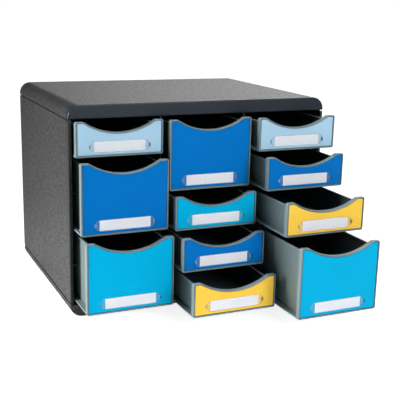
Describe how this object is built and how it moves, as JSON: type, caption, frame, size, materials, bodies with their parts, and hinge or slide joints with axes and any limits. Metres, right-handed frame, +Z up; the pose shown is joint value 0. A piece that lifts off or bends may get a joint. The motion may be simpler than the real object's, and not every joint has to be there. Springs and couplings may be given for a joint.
{
  "type": "desktop drawer cabinet",
  "caption": "Desktop cabinet with rounded covers and slide-out drawers in columns; each drawer front has a finger scoop, a coloured insert and a clear label window.",
  "frame": {"origin": "centre of the cabinet's footprint, on the surface that it stands on", "axes": "+Z up; +Y towards the back panel; +X to the right for someone facing the drawers, which open towards -Y"},
  "size_m": [0.355, 0.4257, 0.27],
  "materials": {
    "case": "fine grained, satin",
    "inner": "matt",
    "feet": "matt",
    "tray": "satin, recycled grey-green",
    "insert_pale": "satin",
    "insert_blue": "satin",
    "insert_cyan": "satin",
    "insert_yellow": "satin",
    "card": "uncoated",
    "window": "clear, glossy"
  },
  "bodies": {
    "cabinet": {"top_cover": "case", "base_cover": "case", "left_side_panel": "case", "right_side_panel": "case", "back_panel": "inner", "left_partition": "inner", "right_partition": "inner", "feet": "feet"},
    "drawer_1": {"drawer_1_tray": "tray", "drawer_1_front_insert": "insert_pale", "drawer_1_label_card": "card", "drawer_1_label_window": "window"},
    "drawer_2": {"drawer_2_tray": "tray", "drawer_2_front_insert": "insert_blue", "drawer_2_label_card": "card", "drawer_2_label_window": "window"},
    "drawer_3": {"drawer_3_tray": "tray", "drawer_3_front_insert": "insert_cyan", "drawer_3_label_card": "card", "drawer_3_label_window": "window"},
    "drawer_4": {"drawer_4_tray": "tray", "drawer_4_front_insert": "insert_blue", "drawer_4_label_card": "card", "drawer_4_label_window": "window"},
    "drawer_5": {"drawer_5_tray": "tray", "drawer_5_front_insert": "insert_cyan", "drawer_5_label_card": "card", "drawer_5_label_window": "window"},
    "drawer_6": {"drawer_6_tray": "tray", "drawer_6_front_insert": "insert_blue", "drawer_6_label_card": "card", "drawer_6_label_window": "window"},
    "drawer_7": {"drawer_7_tray": "tray", "drawer_7_front_insert": "insert_yellow", "drawer_7_label_card": "card", "drawer_7_label_window": "window"},
    "drawer_8": {"drawer_8_tray": "tray", "drawer_8_front_insert": "insert_pale", "drawer_8_label_card": "card", "drawer_8_label_window": "window"},
    "drawer_9": {"drawer_9_tray": "tray", "drawer_9_front_insert": "insert_blue", "drawer_9_label_card": "card", "drawer_9_label_window": "window"},
    "drawer_10": {"drawer_10_tray": "tray", "drawer_10_front_insert": "insert_yellow", "drawer_10_label_card": "card", "drawer_10_label_window": "window"},
    "drawer_11": {"drawer_11_tray": "tray", "drawer_11_front_insert": "insert_cyan", "drawer_11_label_card": "card", "drawer_11_label_window": "window"}
  },
  "joints": [
    {"name": "drawer_1_slide", "type": "slide", "parent": "cabinet", "child": "drawer_1", "axis": [0, -1, 0], "range_m": [-0.0129, 0.1871]},
    {"name": "drawer_2_slide", "type": "slide", "parent": "cabinet", "child": "drawer_2", "axis": [0, -1, 0], "range_m": [-0.0336, 0.1664]},
    {"name": "drawer_3_slide", "type": "slide", "parent": "cabinet", "child": "drawer_3", "axis": [0, -1, 0], "range_m": [-0.0546, 0.1454]},
    {"name": "drawer_4_slide", "type": "slide", "parent": "cabinet", "child": "drawer_4", "axis": [0, -1, 0], "range_m": [-0.0251, 0.1749]},
    {"name": "drawer_5_slide", "type": "slide", "parent": "cabinet", "child": "drawer_5", "axis": [0, -1, 0], "range_m": [-0.046, 0.154]},
    {"name": "drawer_6_slide", "type": "slide", "parent": "cabinet", "child": "drawer_6", "axis": [0, -1, 0], "range_m": [-0.0715, 0.1285]},
    {"name": "drawer_7_slide", "type": "slide", "parent": "cabinet", "child": "drawer_7", "axis": [0, -1, 0], "range_m": [-0.1057, 0.0943]},
    {"name": "drawer_8_slide", "type": "slide", "parent": "cabinet", "child": "drawer_8", "axis": [0, -1, 0], "range_m": [-0.0387, 0.1613]},
    {"name": "drawer_9_slide", "type": "slide", "parent": "cabinet", "child": "drawer_9", "axis": [0, -1, 0], "range_m": [-0.0645, 0.1355]},
    {"name": "drawer_10_slide", "type": "slide", "parent": "cabinet", "child": "drawer_10", "axis": [0, -1, 0], "range_m": [-0.1174, 0.0826]},
    {"name": "drawer_11_slide", "type": "slide", "parent": "cabinet", "child": "drawer_11", "axis": [0, -1, 0], "range_m": [-0.1557, 0.0443]}
  ]
}
